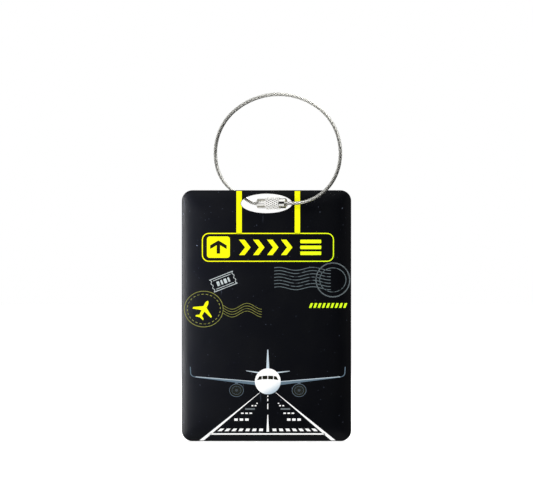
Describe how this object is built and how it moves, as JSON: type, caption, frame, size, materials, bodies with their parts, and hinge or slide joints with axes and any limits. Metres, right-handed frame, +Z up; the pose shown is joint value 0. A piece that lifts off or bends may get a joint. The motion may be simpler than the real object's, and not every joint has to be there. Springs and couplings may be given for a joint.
{
  "type": "luggage tag",
  "caption": "Flat black luggage tag with a printed front, a sliding name card behind a window, and a steel cable loop closed by a knurled screw clasp.",
  "frame": {"origin": "centre of the oval hang slot, at the middle of the body's thickness", "axes": "+Z up the tag from the card towards the cable loop, +X to the right of someone who faces the printed front, the front faces -Y"},
  "size_m": [0.054, 0.0157, 0.1112],
  "materials": {
    "black_coat": "satin black coating with a printed face",
    "adhesive": "translucent acrylic foam tape",
    "frame_plastic": "fine moulded texture",
    "clear_film": "clear gloss film",
    "card": "uncoated card",
    "clasp_steel": "polished stainless steel",
    "strand_steel": "bright drawn steel wire",
    "clear_jacket": "clear gloss nylon"
  },
  "bodies": {
    "tag": {"front_plate": "black_coat", "front_adhesive": "adhesive", "core_frame": "frame_plastic", "window_film": "clear_film", "back_adhesive": "adhesive", "back_plate": "black_coat"},
    "card": {"name_card": "card"},
    "cable": {"screw_plug": "clasp_steel", "cable_jacket": "clear_jacket", "cable_core": "strand_steel", "cable_strand_1": "strand_steel", "cable_strand_2": "strand_steel", "cable_strand_3": "strand_steel", "cable_strand_4": "strand_steel", "cable_strand_5": "strand_steel", "cable_strand_6": "strand_steel"},
    "ferrule": {"stop_ferrule": "clasp_steel"},
    "barrel": {"screw_barrel": "clasp_steel"}
  },
  "joints": [
    {"name": "card_slide", "type": "slide", "parent": "tag", "child": "card", "axis": [1, 0, 0], "range_m": [0, 0.048]},
    {"name": "cable_yaw", "type": "hinge", "parent": "tag", "child": "cable", "pos_m": [0, 0, 0], "axis": [0, 0, -1], "range_deg": [0, 140]},
    {"name": "clasp_travel", "type": "slide", "parent": "cable", "child": "ferrule", "axis": [-0.9397, 0.342, 0], "range_m": [0, 0.0018]},
    {"name": "barrel_spin", "type": "hinge", "parent": "ferrule", "child": "barrel", "pos_m": [0, 0, 0], "axis": [-0.9397, 0.342, 0], "range_deg": [0, 1440]}
  ],
  "couplings": [
    {"joint": "barrel_spin", "follows": "clasp_travel", "rad_per_m": 13963}
  ]
}
